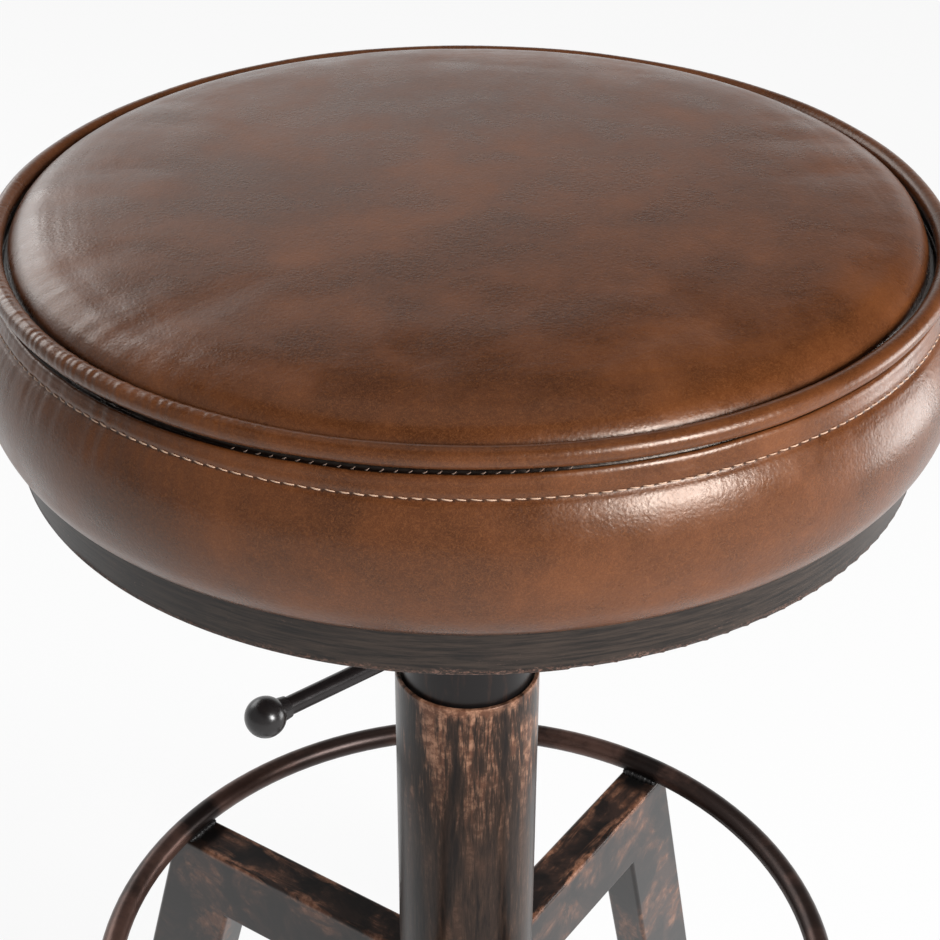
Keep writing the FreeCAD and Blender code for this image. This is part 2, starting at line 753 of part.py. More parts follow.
def make_fasteners():
    """Four hex bolts, their washers, and the tee nuts in the seat board that take them."""
    bolts, washers, nuts = [], [], []
    for quarter in range(4):
        mark = quarter + 1
        head = doc.addObject("Part::Prism", f"bolt_head_{mark}")
        head.Polygon = 6
        place_at_bolt(head, quarter, "PostTop - BoltWasher - BoltHead")
        bind(head, Circumradius="BoltHeadWidth / 2 / cos(30)", Height="BoltHead")
        shank = bolt_cylinder(f"bolt_shank_{mark}", quarter, "PostTop - BoltWasher",
                              "BoardTop - PostTop + BoltWasher", "BoltDiameter / 2")
        bolt = doc.addObject("Part::Fuse", f"bolt_{mark}")
        bolt.Base, bolt.Tool = head, shank
        bolts.append(bolt)
        disc = bolt_cylinder(f"washer_disc_{mark}", quarter, "PostTop - BoltWasher",
                             "BoltWasher", "BoltWasherDiameter / 2")
        eye = bolt_cylinder(f"washer_eye_{mark}", quarter, "PostTop - BoltWasher - Overrun",
                            "BoltWasher + 2 * Overrun", "BoltDiameter / 2 + LooseGap")
        washers.append(cut(f"washer_{mark}", disc, eye))
        barrel = bolt_cylinder(f"nut_barrel_{mark}", quarter, "BoardTop - TeeNutBarrelLength",
                               "TeeNutBarrelLength", "TeeNutBarrel / 2")
        flange = bolt_cylinder(f"nut_flange_{mark}", quarter, "BoardTop - TeeNutFlangeThickness",
                               "TeeNutFlangeThickness", "TeeNutFlange / 2")
        blank = doc.addObject("Part::Fuse", f"nut_blank_{mark}")
        blank.Base, blank.Tool = barrel, flange
        thread = bolt_cylinder(f"nut_thread_{mark}", quarter, "BoardTop - TeeNutBarrelLength - Overrun",
                               "TeeNutBarrelLength + 2 * Overrun", "BoltDiameter / 2 + TightGap")
        nuts.append(cut(f"nut_{mark}", blank, thread))
    group("plate_bolts", bolts)
    group("bolt_washers", washers)
    group("tee_nuts", nuts)


# Seat pan, board and cushion

def make_seat_pan():
    body = turned("seat_pan", [
        ("0", "PanBottom"),
        ("PanRadius - PanCorner", "PanBottom"),
        ("PanRadius", "PanBottom + PanCorner", "PanCorner", 1),
        ("PanRadius", "PanRim - PanRimRound"),
        ("PanRadius - PanRimRound", "PanRim", "PanRimRound", 1),
        ("PanBore", "PanRim"),
        ("PanBore", "PanBottom + PanCorner"),
        ("PanRadius - PanCorner", "PanFloor", "PanCorner - PanWall", -1),
        ("0", "PanFloor"),
    ])
    bolt_holes(body, "BoltHole")


def make_seat_board():
    """The plywood board, with stepped holes for the tee nuts."""
    body = new_body("seat_board")
    sketch = new_sketch(body, "XY_Plane", "BoardBottom")
    circle(sketch, "0", "0", "BoardRadius")
    pad(body, sketch, "BoardThickness")
    bolt_holes(body, "TeeNutBarrel / 2 + LooseGap")
    flange = new_sketch(body, "XY_Plane", "BoardTop")
    circle(flange, "BoltPlace", "BoltPlace", "TeeNutFlange / 2 + LooseGap")
    four_times(body, pocket(body, flange, length="TeeNutFlangeThickness + RunningGap"), flange)


def band_top(depth):
    """Where the band's bulge meets the seam, at a depth under its outer face."""
    return (f"WeltRadius - ({depth}) * (WeltRadius - BandCentreReach) / BandRound",
            f"SeamHeight - ({depth}) * (SeamHeight - BandCentreHeight) / BandRound")


def band_foot(depth):
    """Where the band's bulge meets its rounded foot, at a depth under its outer face."""
    return (f"BandFoot - ({depth}) * cos(BandFootLean)",
            f"BandFootTop + ({depth}) * sin(BandFootLean)")


def make_side_band():
    """The bulging side of the cover, turned in under the cushion and round the board's edge."""
    turned("side_band", [
        ("TabReach", "SeamHeight"),
        ("TabReach", "SeamHeight - SeamTab"),
        ("TabReach + Hide", "SeamHeight - SeamTab"),
        ("TabReach + Hide", "SeamHeight - Hide"),
        band_top("Hide"),
        (*band_foot("Hide"), "BandRound - Hide", -1),
        ("BandFootInner", "BandBottom + Hide", "BandFootRound - Hide", -1),
        ("SkirtInner", "BandBottom + Hide"),
        ("SkirtInner", "HideBottom + Hide"),
        ("SkirtInner - HideTurn", "HideBottom + Hide"),
        ("SkirtInner - HideTurn", "HideBottom"),
        ("SkirtInner", "HideBottom"),
        ("SkirtOuter", "HideBottom + Hide", "Hide", 1),
        ("SkirtOuter", "BandBottom"),
        ("BandFootInner", "BandBottom"),
        (*band_foot("0"), "BandFootRound", 1),
        (*band_top("0"), "BandRound", 1),
    ])


def make_top_panel():
    """The crowned top of the cover, which rounds down to the seam inside the welt."""
    turned("top_panel", [
        ("0", "CrownTop - Hide"),
        ("ShoulderStart", "ShoulderTop - Hide", "CrownRadius", -1),
        ("PanelEdge - Hide", "PanelRim - Hide / 2", "ShoulderRound - Hide", -1),
        ("PanelEdge - Hide", "SeamHeight - SeamTab"),
        ("PanelEdge", "SeamHeight - SeamTab"),
        ("PanelEdge", "PanelRim"),
        ("ShoulderStart", "ShoulderTop", "ShoulderRound", 1),
        ("0", "CrownTop", "CrownRadius", 1),
    ])


def make_welt():
    welt = doc.addObject("Part::Torus", "welt_piping")
    bind(welt, Radius1="WeltRadius", Radius2="WeltDiameter / 2", Placement__Base__z="WeltHeight")


def make_foam_core():
    """The foam fills the cover from the board up to the crown."""
    skin = "(Hide + LooseGap)"
    turned("foam_core", [
        ("0", "BoardTop"),
        ("BoardRadius", "BoardTop"),
        ("BoardRadius", f"BandBottom + {skin}"),
        ("BandFootInner", f"BandBottom + {skin}"),
        (*band_foot(skin), f"BandFootRound - {skin}", 1),
        (*band_top(skin), f"BandRound - {skin}", 1),
        (f"TabReach + {skin}", f"SeamHeight - {skin}"),
        (f"TabReach + {skin}", "SeamHeight - SeamTab - LooseGap"),
        (f"PanelEdge - {skin}", "SeamHeight - SeamTab - LooseGap"),
        (f"PanelEdge - {skin}", f"PanelRim - {skin}"),
        ("ShoulderStart", f"ShoulderTop - {skin}", f"ShoulderRound - {skin}", 1),
        ("0", f"CrownTop - {skin}", "CrownRadius", 1),
    ])


def check_pieces():
    """Stop if any object failed or any piece has no sound solid."""
    failed = [item.Name for item in doc.Objects if {"Invalid", "Error"} & set(item.State)]
    if failed:
        raise RuntimeError("failed objects: " + ", ".join(failed))
    for node in NODES:
        piece = doc.getObjectsByLabel(node)[0]
        if piece.Shape.isNull() or not piece.Shape.isValid() or not piece.Shape.Solids:
            raise RuntimeError(node + " has no sound solid")


def write_pieces():
    os.makedirs("parts", exist_ok=True)
    for node in NODES:
        doc.getObjectsByLabel(node)[0].Shape.exportStep(f"parts/{node}.step")


NODES = [
    "column_tube", "column_floor", "guide_bush",
    "spoke_1", "spoke_2", "spoke_3", "spoke_4",
    "leg_1", "leg_2", "leg_3", "leg_4",
    "foot_glide_1", "foot_glide_2", "foot_glide_3", "foot_glide_4",
    "footrest_ring",
    "lift_outer_tube", "lift_guide_sleeve",
    "thrust_washer_lower", "thrust_washer_upper", "ball_cage", "thrust_balls",
    "piston_rod", "piston", "end_washer", "retaining_clip",
    "gas_cylinder", "cylinder_gland", "valve_button",
    "seat_post", "taper_socket", "lever_rod", "lever_ball", "lever_pivot_pin",
    "mounting_plate", "plate_bolts", "bolt_washers", "tee_nuts",
    "seat_pan", "seat_board", "foam_core", "side_band", "top_panel", "welt_piping",
]

fill_sheet()
make_column()
make_guide_bush()
for leg_number in range(1, 5):
    make_spoke(leg_number)
    make_leg(leg_number)
    make_foot_glide(leg_number)
make_footrest_ring()
make_lift_tube()
make_thrust_bearing()
make_piston_rod()
make_gas_cylinder()
make_seat_post()
make_lever()
make_mounting_plate()
make_fasteners()
make_seat_pan()
make_seat_board()
make_side_band()
make_top_panel()
make_welt()
make_foam_core()
doc.recompute()
check_pieces()
write_pieces()
print(f"{len(NODES)} pieces, seat top at {value('CrownTop'):.1f} mm")
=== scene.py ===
import math

import bpy
import numpy as np
from mathutils import Euler, Matrix, Vector
from mathutils.kdtree import KDTree


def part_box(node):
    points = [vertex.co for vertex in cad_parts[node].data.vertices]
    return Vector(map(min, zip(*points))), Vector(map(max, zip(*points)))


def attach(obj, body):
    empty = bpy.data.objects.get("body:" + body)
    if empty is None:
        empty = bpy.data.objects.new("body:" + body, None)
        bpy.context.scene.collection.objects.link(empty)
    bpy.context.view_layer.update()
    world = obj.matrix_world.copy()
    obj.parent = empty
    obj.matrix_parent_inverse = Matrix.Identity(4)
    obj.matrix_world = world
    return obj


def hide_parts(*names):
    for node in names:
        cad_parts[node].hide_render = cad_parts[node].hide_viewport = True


# Looks of a round upholstered swivel stool: mottled brown leather with a welt and a
# topstitched side, and black and bronze metal with worn copper edges.
# Metres, +Z up, origin on the floor under the column.

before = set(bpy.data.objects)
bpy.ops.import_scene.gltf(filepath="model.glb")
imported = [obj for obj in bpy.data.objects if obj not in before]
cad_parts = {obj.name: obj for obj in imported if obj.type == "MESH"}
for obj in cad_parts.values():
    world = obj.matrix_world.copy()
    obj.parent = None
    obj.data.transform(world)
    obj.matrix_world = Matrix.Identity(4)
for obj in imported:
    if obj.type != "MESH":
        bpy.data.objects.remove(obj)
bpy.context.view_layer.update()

MM = 0.001
TAU = 2 * math.pi
HALF_ROOT = math.sqrt(0.5)
SEAT = "seat"

# Camera, from the photograph's perspective.
CAMERA_PLACE = Vector((-0.1220, -0.6364, 0.9185))
CAMERA_PITCH = math.radians(31.655)
CAMERA_HEADING = math.radians(-10.914)
CAMERA_ROLL = math.radians(0.3)
CAMERA_LENS = 75.13
CAMERA_SENSOR = 36.0

# Studio surroundings, as shares of white. Reflections see the ceiling and the sides; the fill
# and a small part of the backdrop light the stool.
CEILING = 0.10
SIDES = 0.42
FILL = 0.20
BACKDROP_LIGHT = 0.15
FLOOR_GLOW = 0.90
FLOOR_HALF = 6.0

# Soft boxes: name, place, what they face, width, height and power in watts.
LAMPS = (
    ("softbox_right", (1.10, -1.60, 1.40), (0, 0, 0.60), 0.65, 0.80, 66),
    ("softbox_side", (1.95, 0.05, 0.30), (0, 0, 0.35), 0.8, 0.9, 16),
    ("softbox_back", (-1.1, 1.6, 1.5), (0, 0, 0.60), 1.4, 1.2, 15),
    ("softbox_above", (0.0, 0.3, 2.3), (0, 0, 0.5), 1.3, 1.3, 2),
)


# Node building

class Nodes:
    """A node tree under construction, with the place of a point as x, y and z."""

    def __init__(self, tree, coordinates):
        self.tree = tree
        place = self.tree.nodes.new("ShaderNodeTexCoord")
        self.place = place.outputs[coordinates]
        split = self.tree.nodes.new("ShaderNodeSeparateXYZ")
        self.tree.links.new(self.place, split.inputs[0])
        self.x, self.y, self.z = split.outputs

    def put(self, socket, value):
        """Set a socket to a number or colour, or link another socket to it."""
        if isinstance(value, bpy.types.NodeSocket):
            self.tree.links.new(value, socket)
        else:
            socket.default_value = value

    def calc(self, operation, first, second=0.0):
        node = self.tree.nodes.new("ShaderNodeMath")
        node.operation = operation
        for socket, value in zip(node.inputs, (first, second)):
            self.put(socket, value)
        return node.outputs[0]

    def add(self, first, second):
        return self.calc("ADD", first, second)

    def sub(self, first, second):
        return self.calc("SUBTRACT", first, second)

    def times(self, first, second):
        return self.calc("MULTIPLY", first, second)

    def span(self, value, low, high, start=0.0, end=1.0):
        """Map a value smoothly from one range to another, held at both ends."""
        node = self.tree.nodes.new("ShaderNodeMapRange")
        node.interpolation_type = "SMOOTHSTEP"
        for name, number in zip(("From Min", "From Max", "To Min", "To Max"), (low, high, start, end)):
            node.inputs[name].default_value = number
        self.put(node.inputs["Value"], value)
        return node.outputs["Result"]


class Finish(Nodes):
    """A node-based material under construction."""

    def __init__(self, name):
        self.material = bpy.data.materials.new(name)
        self.material.use_nodes = True
        super().__init__(self.material.node_tree, "Object")
        self.shader = self.tree.nodes["Principled BSDF"]

    def reach(self):
        """Distance from the column's axis."""
        square = self.add(self.times(self.x, self.x), self.times(self.y, self.y))
        return self.calc("SQRT", square)

    def turn(self):
        """Angle round the column's axis."""
        return self.calc("ARCTAN2", self.y, self.x)

    def diagonal(self):
        """Distance along the nearest of the two lines that the legs stand on, and across from it."""
        wide_x = self.calc("ABSOLUTE", self.x)
        wide_y = self.calc("ABSOLUTE", self.y)
        along = self.times(self.add(wide_x, wide_y), HALF_ROOT)
        across = self.calc("ABSOLUTE", self.times(self.sub(wide_x, wide_y), HALF_ROOT))
        return along, across

    def shaken(self, value, noise, amount):
        """A value moved up and down by a noise."""
        return self.add(value, self.times(self.sub(noise, 0.5), amount))

    def vector(self, x, y, z):
        node = self.tree.nodes.new("ShaderNodeCombineXYZ")
        for socket, value in zip(node.inputs, (x, y, z)):
            self.put(socket, value)
        return node.outputs[0]

    def noise(self, scale, detail=4.0, roughness=0.55, distortion=0.0, where=None):
        node = self.tree.nodes.new("ShaderNodeTexNoise")
        self.put(node.inputs["Vector"], where or self.place)
        for name, number in (("Scale", scale), ("Detail", detail), ("Roughness", roughness),
                             ("Distortion", distortion)):
            node.inputs[name].default_value = number
        return node.outputs["Fac"]

    def cells(self, scale):
        """Rounded cells, packed like pebbles."""
        node = self.tree.nodes.new("ShaderNodeTexVoronoi")
        node.feature = "SMOOTH_F1"
        self.put(node.inputs["Vector"], self.place)
        node.inputs["Scale"].default_value = scale
        return node.outputs["Distance"]

    def blend(self, factor, first, second):
        """Mix two colours."""
        node = self.tree.nodes.new("ShaderNodeMix")
        node.data_type = "RGBA"
        self.put(node.inputs["Factor"], factor)
        for name, value in (("A", first), ("B", second)):
            socket = [item for item in node.inputs if item.name == name and item.type == "RGBA"][0]
            self.put(socket, value if isinstance(value, bpy.types.NodeSocket) else (*value, 1.0))
        return [item for item in node.outputs if item.type == "RGBA"][0]

    def bump(self, height, depth, below=None):
        """Surface relief; depth is the real height of the relief in metres."""
        node = self.tree.nodes.new("ShaderNodeBump")
        node.inputs["Strength"].default_value = 1.0
        node.inputs["Distance"].default_value = depth
        self.put(node.inputs["Height"], height)
        if below is not None:
            self.put(node.inputs["Normal"], below)
        return node.outputs["Normal"]

    def finish(self, colour, roughness, normal=None, **plain):
        """Wire up the shader. Further settings are plain numbers on its own sockets."""
        sockets = self.shader.inputs
        self.put(sockets["Base Color"], colour)
        self.put(sockets["Roughness"], roughness)
        if normal is not None:
            self.put(sockets["Normal"], normal)
        for name, value in plain.items():
            sockets[name.replace("_", " ")].default_value = value
        return self.material


# Sizes read from the CAD model

welt_low, welt_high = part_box("welt_piping")
WELT_TUBE = (welt_high.z - welt_low.z) / 2
WELT_REACH = welt_high.x - WELT_TUBE
WELT_Z = (welt_high.z + welt_low.z) / 2
pan_low, pan_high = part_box("seat_pan")
board_low, board_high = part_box("seat_board")
band_low, band_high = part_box("side_band")
crown_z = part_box("top_panel")[1].z
ring_low, ring_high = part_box("footrest_ring")
RING_REACH = ring_high.x - (ring_high.z - ring_low.z) / 2
SPOKE_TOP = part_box("spoke_1")[1].z

# Sizes of the spokes, the seams, the stitches and the weld beads

SPOKE_WIDTH = 20 * MM
ROUND_STEPS = 900
PANEL_EDGE = WELT_REACH - WELT_TUBE + 0.2 * MM
SEAM_Z = WELT_Z - 5.6 * MM
STITCH_REACH = 170.8 * MM
STITCH_Z = WELT_Z - 12.9 * MM
STITCH_PITCH = 4.3 * MM
STITCHES = round(TAU * STITCH_REACH / STITCH_PITCH)
STITCH_LENGTH = STITCH_PITCH * 0.78
THREAD_RADIUS = 0.26 * MM
SEAM_THREAD_RADIUS = 0.20 * MM
SEAM_SHOWS = (math.radians(234), math.radians(270))
CAPSULE_SIDES = 8
CAPSULE_RINGS = 7
WELD_RADIUS = 2.0 * MM
WELD_SHIFTS = (-4.2 * MM, 4.2 * MM)
WELD_SIDES = 14
WELD_RINGS = 60

# Cloth filled under pressure. Only these shares of its unevenness reach the cushion, which moves the
# top by less than a millimetre and the side by next to nothing.
CLOTH_TURNS = 180
CLOTH_VOXEL = 5 * MM
CLOTH_FRAMES = 20
CLOTH_PRESSURE = 4.0
CLOTH_CAP = 5 * MM
CLOTH_ON_TOP = 0.28
CLOTH_ON_SIDE = 0.60

# Relief of the cover, as heights, and the side where it gathers most, in degrees.
CHANNEL_DEPTH = 0.75 * MM
PULL_HEIGHT = 0.13 * MM
BELLY_WAVE = 0.45 * MM
LIP_HEIGHT = 1.3 * MM
LIP_TUCK = 0.25 * MM
RIM_PUCKER = 0.07 * MM
RIM_WAVE = 0.5 * MM
WELT_GATHER = 0.13 * MM
GATHER_SIDE = 212.0
GATHER_SPREAD = 24.0


# Materials

HIDE_GLOSS = 0.29
COPPER_DULL = (0.15, 0.062, 0.034)
COPPER_BRIGHT = (0.36, 0.17, 0.10)


def leather(name, groove=None):
    """Mottled brown hide with fine light veins; groove gives a mask of places painted with shade."""
    f = Finish(name)
    clouds = f.noise(13.0, 3.0, 0.50, 0.3)
    patches = f.noise(46.0, 3.0, 0.5, 0.2)
    mottle = f.noise(240.0, 3.0, 0.5, 0.2)
    tone = f.add(f.times(clouds, 0.52), f.add(f.times(patches, 0.40), f.times(mottle, 0.08)))
    deep = (0.056, 0.0165, 0.0048)
    middle = (0.092, 0.0268, 0.0070)
    warm = (0.138, 0.0415, 0.0105)
    pale = (0.29, 0.108, 0.036)
    # Near black for painted shade in the welt's valley and along the topstitch.
    painted_shade = (0.006, 0.003, 0.002)
    base = f.blend(f.span(tone, 0.36, 0.56), deep, middle)
    base = f.blend(f.span(tone, 0.50, 0.66, 0.0, 0.85), base, warm)
    for scale, width in ((380.0, 0.034), (700.0, 0.050)):
        wander = f.calc("ABSOLUTE", f.sub(f.noise(scale, 3.0, 0.6, 1.6), 0.5))
        base = f.blend(f.span(wander, width, 0.0, 0.0, 0.20), base, pale)
    # Painted shade laid over the hide where the mask says so.
    if groove is not None:
        base = f.blend(groove(f), base, painted_shade)
    pebbles = f.cells(950.0)
    creases = f.noise(480.0, 3.0, 0.65, 1.2)
    grain = f.bump(creases, 0.07 * MM, f.bump(pebbles, 0.05 * MM))
    rough = f.add(f.span(patches, 0.3, 0.7, -0.04, 0.05), f.add(f.times(mottle, 0.10), HIDE_GLOSS - 0.05))
    return f.finish(base, rough, grain, Specular_IOR_Level=0.46, Specular_Tint=(1.0, 0.84, 0.73, 1.0),
                    Coat_Weight=0.06, Coat_Roughness=0.30)


def painted_side_shade(f):
    """Painted shade: dark in the welt's valley, along the topstitch and in its needle holes."""
    reach = f.reach()
    from_stitch = f.calc("ABSOLUTE", f.sub(f.z, STITCH_Z))
    phase = f.calc("PINGPONG", f.times(f.turn(), STITCHES / TAU), 0.5)
    holes = f.times(f.span(phase, 0.13, 0.05), f.span(from_stitch, 0.62 * MM, 0.30 * MM))
    # Painted shadow along the stitch line.
    crease = f.span(from_stitch, 0.55 * MM, 0.15 * MM, 0.0, 0.35)
    outside = f.span(reach, WELT_REACH, WELT_REACH + 1.0 * MM)
    stitched = f.times(f.calc("MAXIMUM", f.times(holes, 0.7), crease), outside)
    # Painted shade in the valley under the welt.
    valley = f.span(f.z, SEAM_Z - 4.0 * MM, SEAM_Z - 3.0 * MM)
    valley = f.times(valley, f.span(f.z, WELT_Z + 2.0 * MM, WELT_Z))
    valley = f.times(valley, f.span(reach, PANEL_EDGE - 3.0 * MM, PANEL_EDGE - 1.0 * MM))
    valley = f.times(valley, f.span(reach, WELT_REACH + 0.7 * MM, WELT_REACH - 0.2 * MM))
    return f.calc("MAXIMUM", valley, stitched)


def rubbed(f, mask, paint, dull=COPPER_DULL, bright=COPPER_BRIGHT):
    """Copper brushed over dark paint where the mask says so."""
    copper = f.blend(f.span(f.noise(240.0, 4.0, 0.65), 0.40, 0.66), dull, bright)
    return f.blend(mask, paint, copper)


def column_metal():
    """Dark tube with copper brushed down from its worn mouth."""
    f = Finish("column_bronze_worn")
    angle = f.turn()
    wide = f.noise(1.0, 4.0, 0.6, 0.4, f.vector(f.times(angle, 1.9), 0.0, f.times(f.z, 11.0)))
    streaks = f.noise(1.0, 5.0, 0.7, 0.3, f.vector(f.times(angle, 12.0), 1.7, f.times(f.z, 40.0)))
    hairs = f.noise(1.0, 3.0, 0.75, 0.2, f.vector(f.times(angle, 26.0), 3.1, f.times(f.z, 90.0)))
    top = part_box("column_tube")[1].z
    lip = f.span(f.shaken(f.z, streaks, 16 * MM), top - 6.0 * MM, top - 1.2 * MM)
    worn_side = f.span(f.calc("ABSOLUTE", f.add(angle, 1.85)), 0.95, 0.15)
    lip = f.times(lip, f.calc("MAXIMUM", f.span(wide, 0.44, 0.58, 0.0, 0.8), f.times(worn_side, 0.9)))
    depth = f.span(f.z, top - 85 * MM, top - 10 * MM, 0.14, 1.0)
    brushing = f.add(f.times(wide, 0.45), f.add(f.times(streaks, 0.35), f.times(hairs, 0.20)))
    brushing = f.add(brushing, f.times(f.times(worn_side, depth), 0.050))
    body = f.times(f.span(brushing, 0.505, 0.60, 0.0, 0.80), depth)
    mask = f.calc("MAXIMUM", body, lip)
    paint = f.blend(f.span(brushing, 0.40, 0.56), (0.008, 0.0050, 0.0040), (0.032, 0.018, 0.012))
    colour = rubbed(f, mask, paint, bright=(0.46, 0.24, 0.15))
    rough = f.add(f.times(mask, 0.10), 0.30)
    return f.finish(colour, rough, f.bump(hairs, 0.06 * MM), Metallic=0.15, Specular_IOR_Level=0.12,
                    Coat_Weight=0.20, Coat_Roughness=0.24)


def post_metal():
    """Near black inner post with faint streaks up it."""
    f = Finish("post_bronze_dark")
    streaks = f.noise(1.0, 4.0, 0.7, where=f.vector(f.times(f.turn(), 4.0), 0.0, f.times(f.z, 30.0)))
    colour = f.blend(f.span(streaks, 0.52, 0.74, 0.0, 0.6), (0.013, 0.011, 0.011), (0.080, 0.036, 0.022))
    return f.finish(colour, 0.30, f.bump(streaks, 0.03 * MM), Metallic=0.5)


def pan_metal():
    """Black band with fine streaks round it, copper specks and a worn lower edge."""
    f = Finish("pan_black_brushed")
    angle = f.turn()
    streaks = f.noise(1.0, 5.0, 0.75, where=f.vector(f.times(angle, 7.0), 0.0, f.times(f.z, 900.0)))
    patches = f.noise(1.0, 4.0, 0.6, where=f.vector(f.times(angle, 6.0), 2.0, f.times(f.z, 60.0)))
    specks = f.noise(1.0, 4.0, 0.8, where=f.vector(f.times(angle, 90.0), 5.0, f.times(f.z, 900.0)))
    edge = f.span(f.shaken(f.z, patches, 6 * MM), pan_low.z + 4.0 * MM, pan_low.z + 1.2 * MM)
    rub = f.times(f.span(patches, 0.48, 0.66, 0.0, 0.55), f.span(specks, 0.56, 0.68))
    mask = f.calc("MAXIMUM", rub, f.times(edge, f.span(specks, 0.46, 0.60, 0.0, 0.75)))
    paint = f.blend(f.span(streaks, 0.35, 0.65), (0.009, 0.0068, 0.0058), (0.042, 0.029, 0.022))
    colour = rubbed(f, mask, paint, dull=(0.15, 0.075, 0.055), bright=(0.30, 0.17, 0.13))
    rough = f.add(f.times(edge, 0.35), 0.40)
    return f.finish(colour, rough, f.bump(streaks, 0.03 * MM), Metallic=0.1, Specular_IOR_Level=0.30,
                    Coat_Weight=0.04, Coat_Roughness=0.4)


def tube_metal():
    """Dark bronze legs and spokes, brushed with copper along their edges, and black by the welds: partly
    burnt paint, partly painted contact shade under the ring.
    """
    f = Finish("frame_bronze_worn")
    along, across = f.diagonal()
    stretched = f.vector(f.times(along, 42.0), f.times(across, 200.0), f.times(f.z, 80.0))
    streaks = f.noise(1.0, 5.0, 0.65, 0.5, stretched)
    scuffs = f.noise(36.0, 5.0, 0.65, 0.6)
    half = SPOKE_WIDTH / 2
    edge = f.span(f.shaken(across, streaks, 16 * MM), half - 5.5 * MM, half - 1.0 * MM)
    upper = f.span(f.z, SPOKE_TOP - 4.5 * MM, SPOKE_TOP - 1.0 * MM)
    corner = f.times(f.times(edge, upper), f.span(streaks, 0.40, 0.56))
    smear = f.times(f.span(scuffs, 0.47, 0.62), f.span(streaks, 0.42, 0.60, 0.0, 0.55))
    mask = f.calc("MAXIMUM", f.times(corner, 0.85), smear)
    paint = f.blend(f.span(scuffs, 0.38, 0.62), (0.011, 0.0085, 0.0078), (0.040, 0.023, 0.018))
    # Black on the spoke tops under the ring: partly burnt paint by the welds, partly painted contact shade.
    weld_black_and_shade = f.span(f.shaken(along, scuffs, 10 * MM), RING_REACH - 17 * MM, RING_REACH - 10 * MM)
    weld_black_and_shade = f.times(weld_black_and_shade, f.span(f.z, SPOKE_TOP - 6 * MM, SPOKE_TOP - 2 * MM))
    colour = f.blend(f.times(weld_black_and_shade, 0.92), rubbed(f, mask, paint), (0.004, 0.004, 0.004))
    rough = f.add(f.times(mask, 0.10), 0.32)
    return f.finish(colour, rough, f.bump(streaks, 0.06 * MM), Metallic=0.15, Specular_IOR_Level=0.22,
                    Coat_Weight=0.3, Coat_Roughness=0.28)


def ring_metal():
    """Smooth dark bronze rod, black where it is welded to the spokes: partly burnt paint, partly painted
    contact shade.
    """
    f = Finish("ring_bronze_dark")
    streaks = f.noise(1.0, 4.0, 0.7, where=f.vector(f.times(f.turn(), 14.0), f.times(f.z, 220.0), 0.0))
    cloud = f.noise(18.0, 3.0, 0.5)
    tone = f.add(f.times(cloud, 0.6), f.times(streaks, 0.4))
    colour = f.blend(f.span(tone, 0.38, 0.62), (0.030, 0.018, 0.015), (0.110, 0.060, 0.047))
    _, across = f.diagonal()
    # Black by the spokes: partly burnt paint at the welds, partly painted contact shade.
    weld_black_and_shade = f.span(f.shaken(across, streaks, 8 * MM), 15 * MM, 8 * MM, 0.0, 0.85)
    colour = f.blend(weld_black_and_shade, colour, (0.006, 0.005, 0.005))
    return f.finish(colour, 0.34, f.bump(streaks, 0.04 * MM), Metallic=0.55, Specular_IOR_Level=0.35)


def plain_metal(name, colour, roughness, metallic, grain=160.0):
    """A metal with faint unevenness in tone and gloss."""
    f = Finish(name)
    haze = f.noise(grain, 4.0, 0.6)
    tone = f.blend(haze, tuple(0.82 * c for c in colour), tuple(1.18 * c for c in colour))
    rough = f.shaken(roughness, haze, 0.12)
    return f.finish(tone, rough, f.bump(haze, 0.03 * MM), Metallic=metallic)


def plastic(name, colour, roughness):
    """A moulded plastic with a very fine grain."""
    f = Finish(name)
    mould = f.noise(700.0, 3.0, 0.6)
    tone = f.blend(mould, tuple(0.92 * c for c in colour), tuple(1.08 * c for c in colour))
    return f.finish(tone, roughness, f.bump(mould, 0.02 * MM))


def plywood():
    """Bare plywood with its grain along X and its plies at the edge."""
    f = Finish("plywood_bare")
    stretched = f.vector(f.times(f.x, 14.0), f.times(f.y, 220.0), f.times(f.z, 220.0))
    grain = f.noise(1.0, 5.0, 0.65, 0.8, stretched)
    plies = f.calc("PINGPONG", f.z, 1.2 * MM)
    tone = f.blend(f.span(grain, 0.35, 0.7), (0.50, 0.33, 0.18), (0.66, 0.48, 0.29))
    tone = f.blend(f.times(f.span(plies, 0.4 * MM, 1.0 * MM), 0.25), tone, (0.34, 0.20, 0.10))
    return f.finish(tone, 0.7, f.bump(grain, 0.08 * MM))


def thread(name, dark, light):
    """Sewing thread with a faint twist."""
    f = Finish(name)
    twist = f.noise(2600.0, 2.0, 0.5)
    wear = f.noise(90.0, 3.0, 0.6)
    tone = f.blend(f.add(f.times(twist, 0.5), f.times(wear, 0.5)), dark, light)
    return f.finish(tone, 0.6, f.bump(twist, 0.05 * MM), Sheen_Weight=0.2)


